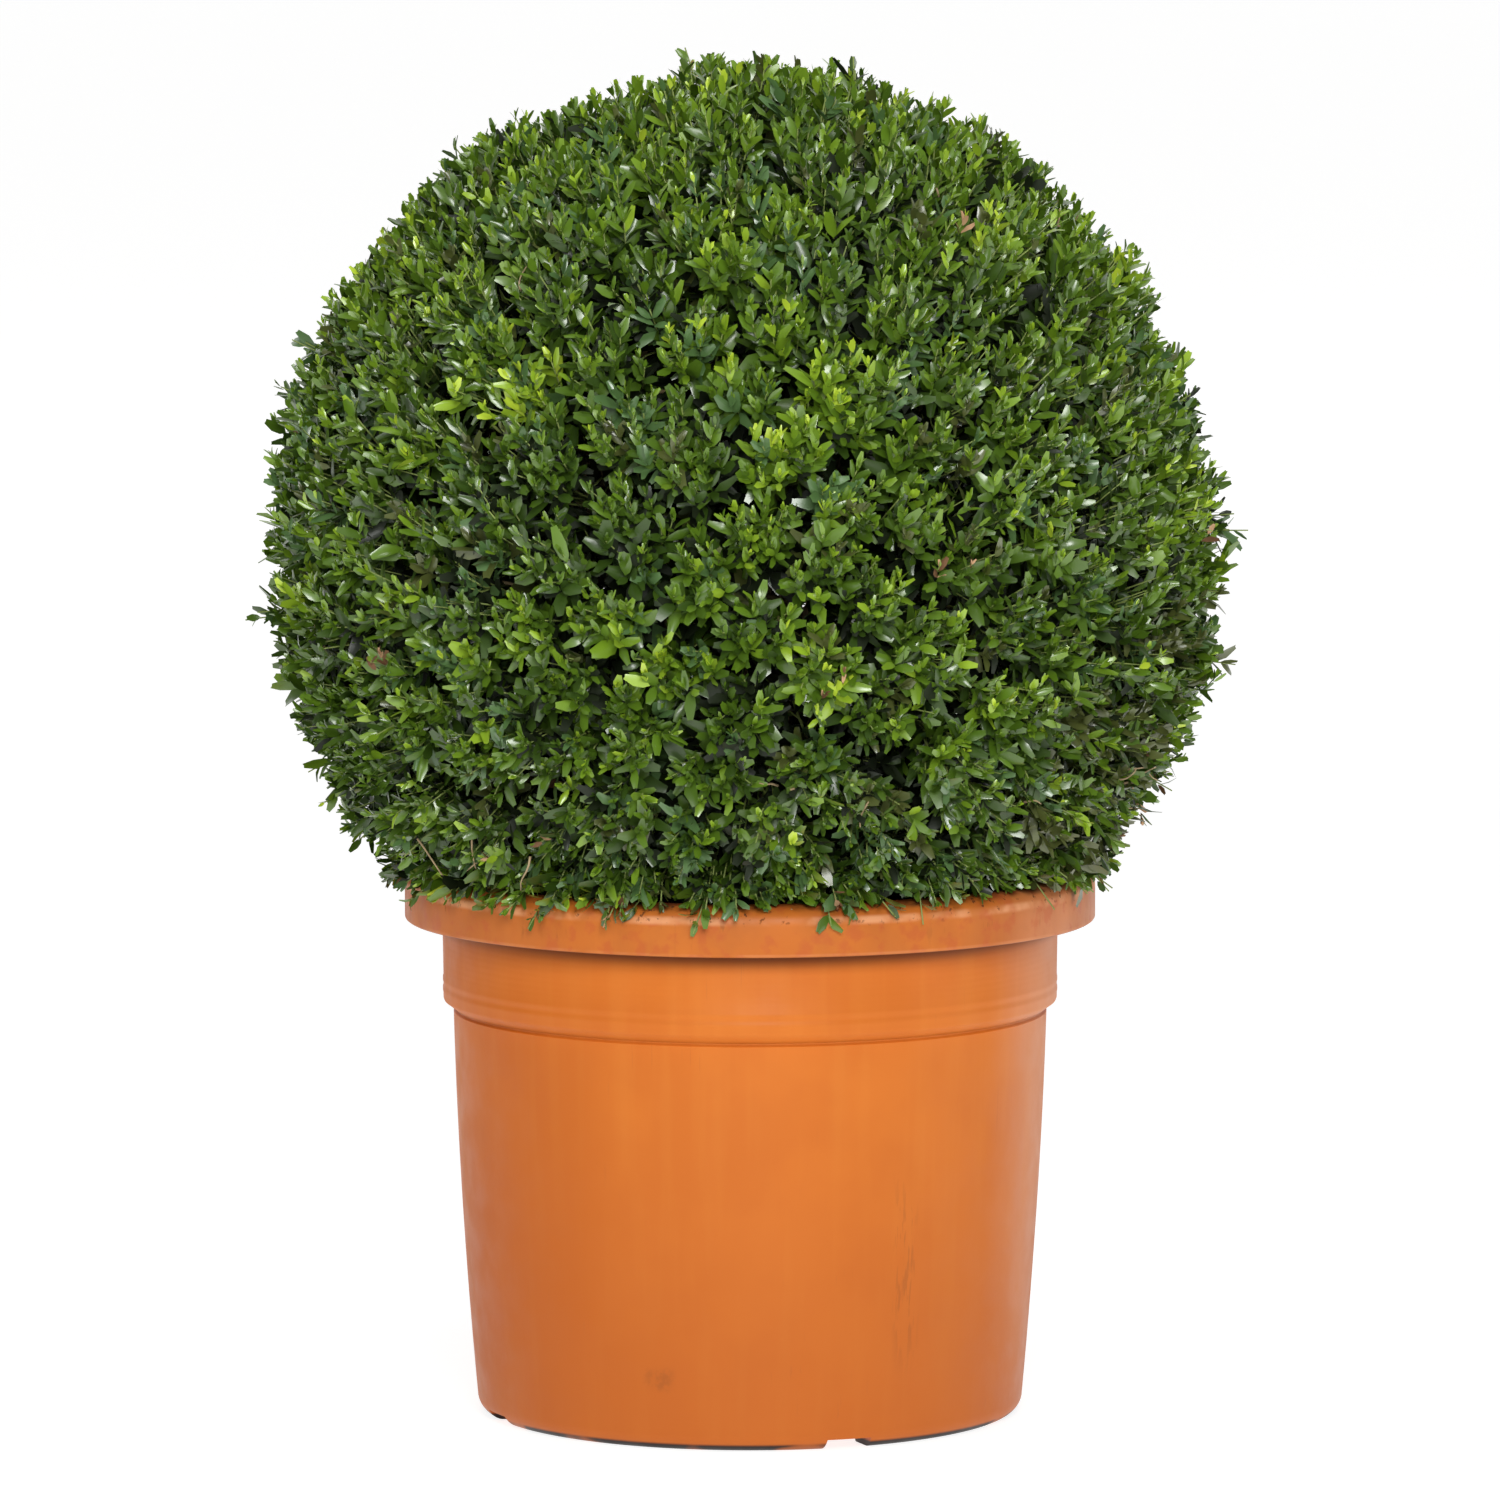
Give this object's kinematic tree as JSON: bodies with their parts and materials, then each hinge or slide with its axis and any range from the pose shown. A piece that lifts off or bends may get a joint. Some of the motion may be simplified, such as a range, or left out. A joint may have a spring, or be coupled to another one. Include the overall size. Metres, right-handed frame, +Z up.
{
  "type": "box topiary ball in a nursery pot",
  "caption": "Clipped evergreen box ball on a short hidden stem, growing in a round terracotta-coloured plastic nursery pot with a rolled rim.",
  "frame": {"origin": "centre of the pot's underside, on the surface it stands on", "axes": "+Z up, the pictured front facing -Y, +X to the right of that view"},
  "size_m": [0.6959, 0.6589, 0.9502],
  "materials": {
    "pot": "terracotta-coloured injection-moulded polypropylene, satin",
    "compost": "moist peat and bark compost",
    "trunk": "grey-brown ridged bark",
    "foliage": "small leathery evergreen leaves, satin"
  },
  "bodies": {
    "root": {"pot": "pot", "compost": "compost", "trunk": "trunk", "foliage_ball": "foliage"}
  },
  "joints": []
}
